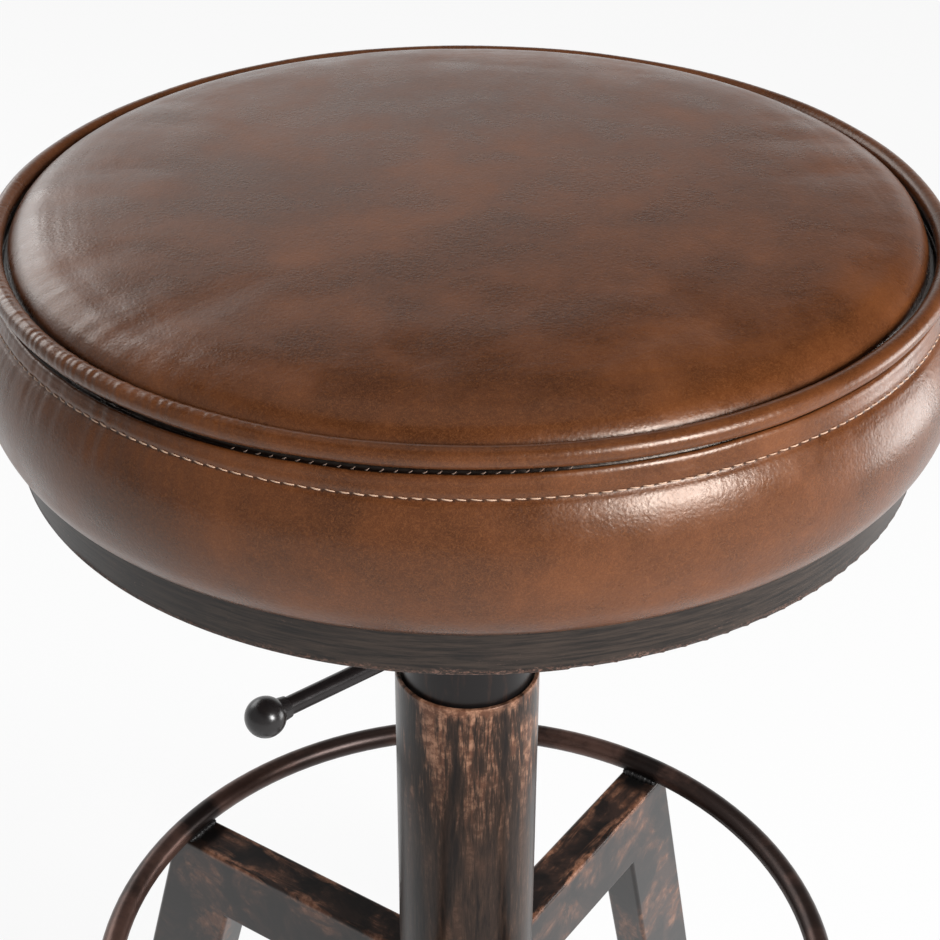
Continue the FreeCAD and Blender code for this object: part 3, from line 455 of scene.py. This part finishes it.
def dress_frame():
    """Give every rigid CAD piece its finish."""
    steel = plain_metal("steel_zinc", (0.42, 0.42, 0.42), 0.34, 1.0)
    black = plain_metal("steel_black", (0.012, 0.012, 0.012), 0.36, 0.3)
    satin = plain_metal("frame_black_satin", (0.014, 0.012, 0.012), 0.44, 0.3)
    nylon = plastic("nylon_natural", (0.62, 0.60, 0.54), 0.5)
    finishes = {
        "column_tube": column_metal(),
        "seat_post": post_metal(),
        "seat_pan": pan_metal(),
        "footrest_ring": ring_metal(),
        "lever_rod": plain_metal("lever_black_satin", (0.013, 0.010, 0.010), 0.25, 0.2),
        "lever_ball": plain_metal("knob_black_satin", (0.012, 0.010, 0.010), 0.26, 0.0),
        "gas_cylinder": black,
        "lift_outer_tube": black,
        "seat_board": plywood(),
        "ball_cage": plain_metal("cage_brass", (0.60, 0.42, 0.18), 0.35, 1.0),
    }
    tube = tube_metal()
    glide = plastic("glide_black", (0.016, 0.016, 0.016), 0.55)
    for number in range(1, 5):
        finishes[f"spoke_{number}"] = tube
        finishes[f"leg_{number}"] = tube
        finishes[f"foot_glide_{number}"] = glide
    for name in ("column_floor", "mounting_plate", "taper_socket"):
        finishes[name] = satin
    for name in ("guide_bush", "lift_guide_sleeve", "piston", "cylinder_gland"):
        finishes[name] = nylon
    for name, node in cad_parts.items():
        for material_slot in node.material_slots:
            material_slot.material = finishes.get(name, steel)


# Cushion shape

def wave(angle, counts, seed):
    """A smooth closed unevenness round the seat, about one unit high."""
    draw = np.random.default_rng(seed)
    total = np.zeros_like(angle)
    for count in counts:
        total = total + draw.uniform(0.5, 1.0) * np.cos(count * angle + draw.uniform(0, TAU))
    return total / math.sqrt(len(counts))


def smooth(value, low, high):
    step = np.clip((value - low) / (high - low), 0, 1)
    return step * step * (3 - 2 * step)


def facing(angle, degrees, spread):
    """1 at one side of the seat, falling to 0 away from it; both in degrees."""
    away = np.abs((angle - math.radians(degrees) + math.pi) % TAU - math.pi)
    return np.exp(-(away / math.radians(spread)) ** 2)


def curve_points(points, spacing):
    """Points along a smooth line through the given ones; spacing gives their distance at a reach."""
    points = np.array(points, float)
    lengths = np.r_[0, np.cumsum(np.hypot(*np.diff(points, axis=0).T))]
    fine = np.linspace(0, lengths[-1], 60 * len(points))
    slopes = np.gradient(points, lengths, axis=0)
    index = np.clip(np.searchsorted(lengths, fine, side="right") - 1, 0, len(points) - 2)
    span = (lengths[index + 1] - lengths[index])[:, None]
    t = (fine - lengths[index])[:, None] / span
    line = ((2 * t**3 - 3 * t**2 + 1) * points[index] + (t**3 - 2 * t**2 + t) * span * slopes[index]
            + (-2 * t**3 + 3 * t**2) * points[index + 1] + (t**3 - t**2) * span * slopes[index + 1])
    steps = np.hypot(*np.diff(line, axis=0).T)
    pace = np.r_[0, np.cumsum(steps / spacing(line[1:, 0]))]
    even = np.linspace(0, pace[-1], round(pace[-1]) + 1)
    return np.stack([np.interp(even, pace, line[:, k]) for k in (0, 1)], 1)


def add_mesh(name, vertices, faces, material, smooth_shade=True):
    mesh = bpy.data.meshes.new(name)
    mesh.from_pydata(vertices.tolist() if hasattr(vertices, "tolist") else vertices, [], faces)
    mesh.update()
    thing = bpy.data.objects.new(name, mesh)
    bpy.context.scene.collection.objects.link(thing)
    if material:
        mesh.materials.append(material)
    if smooth_shade:
        mesh.shade_smooth()
    return thing


def revolve(name, reach, height, material, ring=False):
    """A closed skin from arrays of reach and height, [angle, step], capped at the axis or a ring."""
    turns, steps = reach.shape
    angle = round_angles(turns)
    vertices = np.stack([reach * np.cos(angle), reach * np.sin(angle), height], -1).reshape(-1, 3).tolist()
    a = np.arange(turns)[:, None]
    b = np.arange(steps if ring else steps - 1)[None, :]
    next_a, next_b = (a + 1) % turns, (b + 1) % steps
    quads = np.stack([a * steps + b, next_a * steps + b, next_a * steps + next_b, a * steps + next_b], -1)
    faces = quads.reshape(-1, 4).tolist()
    if not ring:
        for column, flip in ((0, True), (steps - 1, False)):
            vertices.append([0.0, 0.0, float(height[:, column].mean())])
            centre = len(vertices) - 1
            for turn in range(turns):
                one, two = turn * steps + column, ((turn + 1) % turns) * steps + column
                faces.append([centre, two, one] if flip else [centre, one, two])
    return add_mesh(name, vertices, faces, material)


def round_angles(turns):
    return np.linspace(0, TAU, turns, endpoint=False)[:, None]


def gathering(angle):
    """How strongly the cover gathers at an angle, from 0 to 1: most at the camera's left."""
    return 0.15 + 0.85 * facing(angle, GATHER_SIDE, GATHER_SPREAD)


def cushion_outline(sharp):
    """The cushion's closed outline as reach and height, from under its middle round to its crown.

    A sharp outline has the valley that the welt lies in; the other one passes it in a shallow dip.
    """
    foot = pan_high.z
    under = board_high.z + 0.15 * MM
    side = [
        (0.8 * MM, under),
        (60.0 * MM, under),
        (120.0 * MM, under),
        (pan_high.x - 8.0 * MM, under),
        (pan_high.x - 3.3 * MM, under + 0.5 * MM),
        (pan_high.x - 2.6 * MM, foot - 0.5 * MM),
        (pan_high.x - 1.4 * MM, foot + 0.35 * MM),
        (band_high.x - 11.5 * MM, foot + 0.35 * MM),
        (band_high.x - 8.4 * MM, foot + 0.6 * MM),
        (band_high.x - 6.4 * MM, foot + 2.4 * MM),
        (band_high.x - 3.6 * MM, WELT_Z - 55.0 * MM),
        (band_high.x - 1.0 * MM, WELT_Z - 46.0 * MM),
        (band_high.x, WELT_Z - 36.0 * MM),
        (band_high.x - 1.1 * MM, WELT_Z - 27.0 * MM),
        (band_high.x - 4.2 * MM, WELT_Z - 18.5 * MM),
        (STITCH_REACH + 0.5 * MM, STITCH_Z),
        (WELT_REACH + 2.2 * MM, WELT_Z - 9.2 * MM),
    ]
    valley = [
        (WELT_REACH + 1.4 * MM, SEAM_Z - 1.1 * MM),
        (WELT_REACH + 0.5 * MM, SEAM_Z - 0.5 * MM),
        (WELT_REACH - 0.5 * MM, SEAM_Z - 1.2 * MM),
        (WELT_REACH - 1.4 * MM, SEAM_Z - 2.2 * MM),
        (WELT_REACH - 2.6 * MM, SEAM_Z - 1.6 * MM),
        (PANEL_EDGE - 0.1 * MM, SEAM_Z + 1.2 * MM),
        (PANEL_EDGE - 0.5 * MM, WELT_Z - 1.6 * MM),
        (PANEL_EDGE - 1.6 * MM, WELT_Z + 1.3 * MM),
    ]
    dip = [(WELT_REACH - 1.0 * MM, WELT_Z - 3.0 * MM)]
    crown = [
        (PANEL_EDGE - 4.4 * MM, WELT_Z + 4.5 * MM),
        (PANEL_EDGE - 10.0 * MM, WELT_Z + 7.2 * MM),
        (PANEL_EDGE - 20.0 * MM, WELT_Z + 9.2 * MM),
        (PANEL_EDGE - 40.0 * MM, WELT_Z + 10.9 * MM),
        (PANEL_EDGE - 75.0 * MM, crown_z - 0.9 * MM),
        (PANEL_EDGE - 115.0 * MM, crown_z - 0.2 * MM),
        (0.8 * MM, crown_z),
    ]
    return side + (valley if sharp else dip) + crown


def swell(line):
    """How far cloth under pressure moves along the outline, [angle, step] of reach and height.

    A slightly slack and lumpy copy of the cushion is filled like a cover with its seam and its
    underside held. Only what differs round the seat is used, so that the sizes stay as they are.
    """
    turns = CLOTH_TURNS
    angle = round_angles(turns)
    draft_line = curve_points(cushion_outline(sharp=False), lambda reach: 4 * MM + 0 * reach)
    reach, height = draft_line[:, 0][None, :], draft_line[:, 1][None, :]
    free = smooth(height, pan_high.z + 3 * MM, pan_high.z + 14 * MM)
    slack = wave(angle, (2, 3, 5, 7, 9), 61) * 1.2 * MM - 1.5 * MM
    top_side = smooth(height, WELT_Z, WELT_Z + 6 * MM)
    x, y = reach * np.cos(angle), reach * np.sin(angle)
    dents = (np.sin(23 * x + 1.0) * np.cos(29 * y - 0.4) + np.sin(37 * (x + 0.6 * y))) * 0.8 * MM
    draft_reach = reach + slack * free * (1 - top_side)
    draft = revolve("draft", draft_reach, height + (dents - 1 * MM) * top_side, None)
    remesh = draft.modifiers.new("even", "REMESH")
    remesh.mode = "VOXEL"
    remesh.voxel_size = CLOTH_VOXEL
    graph = bpy.context.evaluated_depsgraph_get()
    even = bpy.data.meshes.new_from_object(draft.evaluated_get(graph))
    bpy.data.objects.remove(draft)
    cover = bpy.data.objects.new("cover", even)
    bpy.context.scene.collection.objects.link(cover)

    start = np.array([vertex.co[:] for vertex in even.vertices])
    far = np.hypot(start[:, 0], start[:, 1])
    seam = (np.abs(start[:, 2] - WELT_Z + 3 * MM) < 4 * MM) & (far > WELT_REACH - 5 * MM)
    held = cover.vertex_groups.new(name="held")
    held.add(np.flatnonzero(seam | (start[:, 2] < pan_high.z + 2 * MM)).tolist(), 1.0, "REPLACE")
    cloth = cover.modifiers.new("cloth", "CLOTH")
    cloth.settings.vertex_group_mass = "held"
    cloth.settings.use_pressure = True
    cloth.settings.uniform_pressure_force = CLOTH_PRESSURE
    cloth.settings.effector_weights.gravity = 0.0
    cloth.settings.quality = 5
    cloth.settings.tension_stiffness = 30.0
    cloth.settings.bending_stiffness = 2.0
    for number in range(1, CLOTH_FRAMES + 1):
        bpy.context.scene.frame_set(number)
    graph = bpy.context.evaluated_depsgraph_get()
    filled = bpy.data.meshes.new_from_object(cover.evaluated_get(graph))
    moved = np.array([vertex.co[:] for vertex in filled.vertices]) - start
    bpy.data.objects.remove(cover)
    bpy.context.scene.frame_set(1)

    length = np.linalg.norm(moved, axis=1, keepdims=True)
    moved = moved * np.minimum(1, CLOTH_CAP / np.maximum(length, 1e-9))
    near = KDTree(len(start))
    for index, place in enumerate(start):
        near.insert(place, index)
    near.balance()
    out = np.empty((turns, len(line), 2))
    for turn in range(turns):
        across, along = math.cos(angle[turn, 0]), math.sin(angle[turn, 0])
        for step, (reach_here, height_here) in enumerate(line):
            found = near.find_n((reach_here * across, reach_here * along, height_here), 8)
            weights = np.array([1 / (distance + 2 * MM) ** 2 for _, _, distance in found])
            shift = (moved[[index for _, index, _ in found]] * weights[:, None]).sum(0) / weights.sum()
            out[turn, step] = shift[0] * across + shift[1] * along, shift[2]
    return out - out.mean(0)


def make_cushion(material):
    """The crowned closed cushion, with its welt valley, sewn channel, pulls and puckers."""
    angle = round_angles(ROUND_STEPS)
    line = curve_points(cushion_outline(sharp=True),
                        lambda reach: 0.7 * MM + 2.8 * MM * smooth(PANEL_EDGE - reach, 12 * MM, 60 * MM))
    reach, height = line[:, 0][None, :], line[:, 1][None, :]
    crest = int(np.argmax((reach < PANEL_EDGE + 0.5 * MM) & (height > SEAM_Z + 0.5 * MM)))
    is_top = (np.arange(len(line)) >= crest)[None, :]
    is_side = ~is_top & (height > pan_high.z + 0.5 * MM)
    out = np.zeros((ROUND_STEPS, len(line)))
    up = np.zeros((ROUND_STEPS, len(line)))

    coarse = swell(line)
    source = np.linspace(0, TAU, len(coarse) + 1)
    near_welt = np.hypot(reach - WELT_REACH, height - WELT_Z)
    freely = smooth(near_welt, 5 * MM, 22 * MM) * smooth(height, pan_high.z + 1 * MM, pan_high.z + 8 * MM)
    freely = freely * np.where(is_top, CLOTH_ON_TOP, CLOTH_ON_SIDE)
    for step in range(len(line)):
        for target, part in ((out, 0), (up, 1)):
            values = np.r_[coarse[:, step, part], coarse[0, step, part]]
            target[:, step] += np.interp(angle[:, 0], source, values) * freely[0, step]

    below = WELT_Z - height
    channel = np.exp(-((height - STITCH_Z) / (1.0 * MM)) ** 2)
    near_seam = smooth(below, 4 * MM, 7 * MM) * (1 - smooth(below, 14 * MM, 30 * MM))
    pulls = wave(angle, range(70, 260, 11), 21) * gathering(angle) * near_seam * PULL_HEIGHT
    belly = smooth(below, 12 * MM, 36 * MM) * (1 - smooth(below, 44 * MM, 60 * MM))
    broad = wave(angle, (3, 5, 8), 22) * belly
    out += is_side * (pulls + broad * BELLY_WAVE - channel * CHANNEL_DEPTH)

    lip = int(np.argmin(np.hypot(line[:, 0] - WELT_REACH - 0.5 * MM, line[:, 1] - SEAM_Z + 0.5 * MM)))
    arc = np.r_[0, np.cumsum(np.hypot(*np.diff(line, axis=0).T))]
    beyond = (arc - arc[lip])[None, :]
    near_lip = smooth(beyond, -7 * MM, 0) * (1 - smooth(beyond, 0, 2.0 * MM))
    gape = 1.0 - 1.7 * facing(angle, 213.0, 44.0) + wave(angle, (9, 14, 23, 31), 24) * 0.12
    up += near_lip * gape * LIP_HEIGHT
    out -= near_lip * (1 - gape) * LIP_TUCK

    rim = smooth(reach, PANEL_EDGE - 22 * MM, PANEL_EDGE - 5 * MM)
    rim = rim * smooth(height, WELT_Z - 1 * MM, WELT_Z + 4 * MM)
    up += is_top * wave(angle, range(44, 170, 9), 11) * gathering(angle) * rim * RIM_PUCKER
    up += is_top * wave(angle, (2, 3, 5), 12) * rim * RIM_WAVE
    apart = 1.7 * facing(angle, 330.0, 50.0) + 0.9 * facing(angle, 186.0, 26.0)
    edge = smooth(reach, PANEL_EDGE - 16 * MM, PANEL_EDGE - 3 * MM)
    edge = edge * smooth(height, SEAM_Z, SEAM_Z + 3 * MM)
    out -= is_top * apart * edge * MM
    stitch = int(np.argmin(np.where(is_side[0], np.abs(line[:, 1] - STITCH_Z), 1)))
    lines = [((reach + out)[:, step], (height + up)[:, step]) for step in (stitch, lip)]
    return revolve("cushion", reach + out, height + up, material), *lines


def on_line(line, angle):
    """The reach and height of a line round the cushion at an angle."""
    angles = np.linspace(0, TAU, len(line[0]) + 1)
    return [float(np.interp(angle % TAU, angles, np.r_[values, values[0]])) for values in line]


def make_welt(material):
    """The round piping, slightly uneven, with fine gathers across it."""
    angle = round_angles(2 * ROUND_STEPS)
    around = np.linspace(0, TAU, 26, endpoint=False)[None, :]
    skewed = angle + 0.006 * np.sin(around)
    gathers = wave(skewed, range(83, 420, 17), 31) * gathering(angle) * WELT_GATHER
    tube = WELT_TUBE + wave(angle, (4, 7, 11, 19), 32) * 0.10 * MM + gathers * (0.6 + 0.4 * np.sin(around))
    centre = WELT_REACH + wave(angle, (2, 3, 6), 33) * 0.3 * MM
    lift = wave(angle, (2, 5, 7), 34) * 0.25 * MM
    return revolve("cushion_welt", centre + tube * np.cos(around), WELT_Z + lift + tube * np.sin(around),
                   material, ring=True)


def tube_faces(rings, sides, start):
    """Faces of a tube closed at both ends, whose points run ring by ring."""
    faces = []
    for ring in range(rings - 1):
        for side in range(sides):
            one = start + ring * sides + side
            two = start + ring * sides + (side + 1) % sides
            faces.append([one, two, two + sides, one + sides])
    faces.append([start + side for side in range(sides)][::-1])
    faces.append([start + (rings - 1) * sides + side for side in range(sides)])
    return faces


def capsule(centre, along, out, length, radius):
    """Points of a short stitch that is sunk at both ends, ring by ring."""
    up = along.cross(out).normalized()
    vertices = []
    for ring in range(CAPSULE_RINGS):
        t = ring / (CAPSULE_RINGS - 1)
        arch = math.sin(math.pi * t)
        middle = centre + along * (length * (t - 0.5)) + out * (radius * (1.15 * arch - 0.75))
        size = radius * (0.45 + 0.55 * arch ** 0.5)
        for side in range(CAPSULE_SIDES):
            a = TAU * side / CAPSULE_SIDES
            vertices.append(middle + out * (size * math.cos(a)) + up * (size * math.sin(a)))
    return vertices


def capsules(name, shapes, material):
    """One object from many capsules."""
    vertices, faces = [], []
    for shape in shapes:
        faces += tube_faces(CAPSULE_RINGS, CAPSULE_SIDES, len(vertices))
        vertices += [tuple(v) for v in capsule(*shape)]
    return add_mesh(name, vertices, faces, material)


def around_seat(angle, reach, height):
    return Vector((math.cos(angle) * reach, math.sin(angle) * reach, height))


def make_topstitch(channel, material):
    """Stitches along the sewn channel, a little uneven and slanted as sewn ones are."""
    draw = np.random.default_rng(41)
    shapes = []
    for number in range(STITCHES):
        angle = TAU * (number + 0.5 + draw.uniform(-0.03, 0.03)) / STITCHES
        out = around_seat(angle, 1, 0.28).normalized()
        along = around_seat(angle + math.pi / 2, 1, draw.uniform(-0.16, -0.04)).normalized()
        reach, height = on_line(channel, angle)
        centre = around_seat(angle, reach + 0.22 * MM, height + draw.uniform(-0.08, 0.08) * MM)
        length = STITCH_LENGTH * draw.uniform(0.86, 1.06)
        radius = THREAD_RADIUS * draw.uniform(0.85, 1.1)
        shapes.append((centre, along, out, length, radius))
    return capsules("cushion_topstitch", shapes, material)


def make_seam_stitches(lip, material):
    """The seam's own stitches, seen in the dark under the welt where the seam gapes at the front."""
    draw = np.random.default_rng(42)
    shapes = []
    for number in range(STITCHES):
        angle = TAU * number / STITCHES
        if SEAM_SHOWS[0] < angle < SEAM_SHOWS[1]:
            out = around_seat(angle, 1, -0.3).normalized()
            along = around_seat(angle + math.pi / 2, 1, draw.uniform(0.4, 0.7)).normalized()
            reach, height = on_line(lip, angle)
            centre = around_seat(angle, reach + 0.1 * MM, height + 0.5 * MM)
            length = 1.7 * MM * draw.uniform(0.85, 1.1)
            shapes.append((centre, along, out, length, SEAM_THREAD_RADIUS))
    return capsules("cushion_seam_stitches", shapes, material)


def make_welds(material):
    """Uneven weld beads where the foot ring lies on the spokes, inside and outside of it."""
    draw = np.random.default_rng(51)
    t = np.linspace(0, 1, WELD_RINGS)[:, None]
    around = np.linspace(0, TAU, WELD_SIDES, endpoint=False)[None, :]
    taper = np.sqrt(np.clip(1 - np.abs(2 * t - 1) ** 5, 0.004, 1))
    vertices, faces = [], []
    for number in range(4):
        angle = math.radians(45 + 90 * number)
        for shift in WELD_SHIFTS:
            ripple = 0.10 * np.sin(TAU * (7.5 * t + draw.uniform(0, 1)))
            swelling = 0.10 * np.sin(TAU * (2.3 * t + draw.uniform(0, 1)))
            size = WELD_RADIUS * (1 + ripple + swelling) * taper
            outward = RING_REACH + shift + 0.95 * size * np.cos(around) + draw.uniform(-0.2, 0.2) * MM
            across = (t - 0.5) * 0.94 * SPOKE_WIDTH + 0 * around
            faces += tube_faces(WELD_RINGS, WELD_SIDES, len(vertices))
            vertices += np.stack([outward * math.cos(angle) - across * math.sin(angle),
                                  outward * math.sin(angle) + across * math.cos(angle),
                                  SPOKE_TOP + 0.7 * MM + size * np.sin(around)], -1).reshape(-1, 3).tolist()
    return add_mesh("ring_welds", vertices, faces, material)


# Stage

def make_camera():
    data = bpy.data.cameras.new("camera")
    data.lens = CAMERA_LENS
    data.sensor_width = CAMERA_SENSOR
    data.clip_start = 0.01
    data.clip_end = 50
    camera = bpy.data.objects.new("camera", data)
    aim = Euler((math.pi / 2 - CAMERA_PITCH, 0, CAMERA_HEADING)).to_matrix()
    camera.location = CAMERA_PLACE
    camera.rotation_euler = (aim @ Matrix.Rotation(CAMERA_ROLL, 3, "Z")).to_euler()
    bpy.context.scene.collection.objects.link(camera)
    bpy.context.scene.camera = camera


def area_light(name, place, target, width, height, power):
    data = bpy.data.lights.new(name, "AREA")
    data.shape = "RECTANGLE"
    data.size = width
    data.size_y = height
    data.energy = power
    lamp = bpy.data.objects.new(name, data)
    lamp.location = place
    lamp.rotation_euler = (Vector(target) - Vector(place)).to_track_quat("-Z", "Y").to_euler()
    bpy.context.scene.collection.objects.link(lamp)


def seen_rays(n):
    """What the camera sees itself, and that with what it sees in a reflection or through glass: 1 or 0."""
    path = n.tree.nodes.new("ShaderNodeLightPath")
    camera_ray = path.outputs["Is Camera Ray"]
    seen = n.calc("MAXIMUM", camera_ray, path.outputs["Is Glossy Ray"])
    seen = n.calc("MAXIMUM", seen, path.outputs["Is Transmission Ray"])
    return camera_ray, seen


def make_world():
    """Plain studio surroundings: white to the camera. Reflections see a backdrop that is white behind
    the stool and dimmer overhead and to the other sides. What lights the stool is softer."""
    world = bpy.data.worlds.new("studio")
    bpy.context.scene.world = world
    world.use_nodes = True
    n = Nodes(world.node_tree, "Generated")
    across, back, up = n.x, n.y, n.z
    camera_ray, seen = seen_rays(n)
    rise = n.add(up, n.times(across, 0.42))
    ceiling = n.span(rise, 0.28, 0.68, 1.0, CEILING)
    behind = n.add(n.times(across, -0.15), n.times(back, 0.95))
    backdrop = n.times(ceiling, n.span(behind, 0.35, 0.85, SIDES, 1.0))
    reflected = n.times(backdrop, n.sub(seen, camera_ray))
    fill = n.add(n.times(backdrop, BACKDROP_LIGHT), FILL)
    other = n.times(fill, n.sub(1.0, seen))
    background = n.tree.nodes["Background"]
    background.inputs["Color"].default_value = (1, 1, 1, 1)
    n.put(background.inputs["Strength"], n.add(camera_ray, n.add(reflected, other)))


def floor_finish():
    """A pale floor that shows nearly white, with the stool's shadow on it."""
    f = Finish("floor_white")
    f.finish(f.blend(f.noise(3.0), (0.84, 0.84, 0.84), (0.86, 0.86, 0.86)), 0.8)
    glow = f.tree.nodes.new("ShaderNodeEmission")
    mix = f.tree.nodes.new("ShaderNodeMixShader")
    _, seen = seen_rays(f)
    f.put(mix.inputs[0], f.times(seen, FLOOR_GLOW))
    f.put(mix.inputs[1], f.shader.outputs[0])
    f.put(mix.inputs[2], glow.outputs[0])
    f.put(f.tree.nodes["Material Output"].inputs["Surface"], mix.outputs[0])
    return f.material


def make_floor():
    corners = [(FLOOR_HALF * x, FLOOR_HALF * y, 0) for x, y in ((-1, -1), (1, -1), (1, 1), (-1, 1))]
    floor = add_mesh("floor", corners, [[0, 1, 2, 3]], floor_finish(), smooth_shade=False)


def settle(piece, body, slot, *nodes):
    """Make a piece ride on a body and stand for CAD nodes, which are hidden; slot is not used."""
    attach(piece, body)
    if nodes:
        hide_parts(*nodes)


dress_frame()
make_camera()
make_world()
make_floor()
for lamp in LAMPS:
    area_light(*lamp)

cushion, channel, lip = make_cushion(leather("leather_cushion", painted_side_shade))
settle(cushion, SEAT, "leather", "top_panel", "side_band", "foam_core")
settle(make_welt(leather("leather_welt")), SEAT, "leather", "welt_piping")
topstitch = make_topstitch(channel, thread("thread_tan", (0.36, 0.20, 0.12), (0.66, 0.46, 0.33)))
settle(topstitch, SEAT, "leather")
seam_stitches = make_seam_stitches(lip, thread("thread_brown", (0.10, 0.060, 0.042), (0.26, 0.165, 0.12)))
settle(seam_stitches, SEAT, "leather")
welds = make_welds(plain_metal("weld_black", (0.008, 0.007, 0.007), 0.45, 0.2, 500.0))
settle(welds, "base", "frame_black")

bpy.context.scene.view_settings.view_transform = "Standard"
